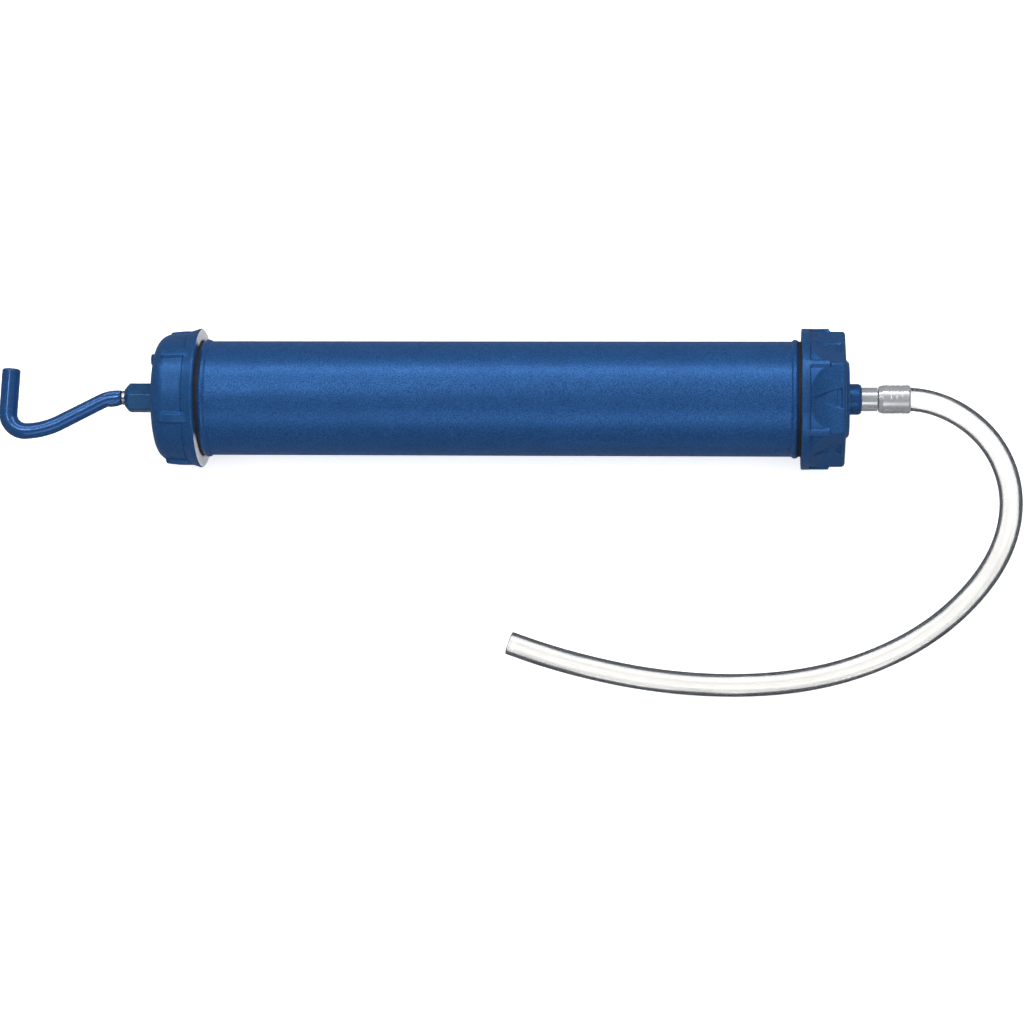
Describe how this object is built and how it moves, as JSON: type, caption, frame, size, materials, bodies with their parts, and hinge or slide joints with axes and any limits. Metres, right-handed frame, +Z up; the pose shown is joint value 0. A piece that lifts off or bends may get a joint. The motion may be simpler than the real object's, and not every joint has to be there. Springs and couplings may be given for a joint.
{
  "type": "fluid transfer pump",
  "caption": "Hand suction gun: steel barrel with screw-on caps, hooked pull rod with a double leather-cup piston, and a clear hose on a crimped nipple.",
  "frame": {"origin": "centre of the rigid pump's footprint, on the plane that its two caps lie on", "axes": "+X along the barrel from the pull handle to the hose, +Z up, so the hook of the handle lies flat and the hose sweeps round on the -Y side"},
  "size_m": [0.4553, 0.1604, 0.0622],
  "materials": {
    "barrel_paint": "satin blue enamel on the steel tube",
    "cap_paint": "semi-gloss blue enamel on cast metal",
    "nut_paint": "semi-gloss blue enamel",
    "handle_paint": "gloss blue enamel on bent bar",
    "rubber": "moulded nitrile",
    "graphite_felt": "graphited felt",
    "brass": "turned",
    "zinc_plate": "bright zinc plate",
    "fibre": "vulcanised fibre",
    "clear_vinyl": "clear flexible vinyl, smooth",
    "bright_steel": "cold drawn steel",
    "leather": "oil-soaked, formed"
  },
  "bodies": {
    "barrel": {"barrel": "barrel_paint", "rear_cap": "cap_paint", "front_cap": "cap_paint", "rear_cap_gasket": "rubber", "front_cap_gasket": "rubber", "gland_nut": "nut_paint", "gland_packing": "graphite_felt", "gland_washer": "brass", "rod_guide": "brass", "hose_nipple": "zinc_plate", "nipple_seal": "fibre", "hose_ferrule": "zinc_plate", "hose": "clear_vinyl"},
    "piston": {"cup_spacer": "bright_steel", "front_cup": "leather", "rear_cup": "leather"},
    "rod": {"piston_rod": "bright_steel", "pull_handle": "handle_paint", "front_follower": "bright_steel", "rear_follower": "bright_steel", "piston_nut": "bright_steel", "rear_jam_nut": "bright_steel", "spring_washer": "bright_steel"}
  },
  "joints": [
    {"name": "rod_slide", "type": "slide", "parent": "barrel", "child": "piston", "axis": [-1, 0, 0], "range_m": [0, 0.26]},
    {"name": "rod_turn", "type": "hinge", "parent": "piston", "child": "rod", "pos_m": [0, 0, 0.0311], "axis": [1, 0, 0], "continuous": true}
  ]
}
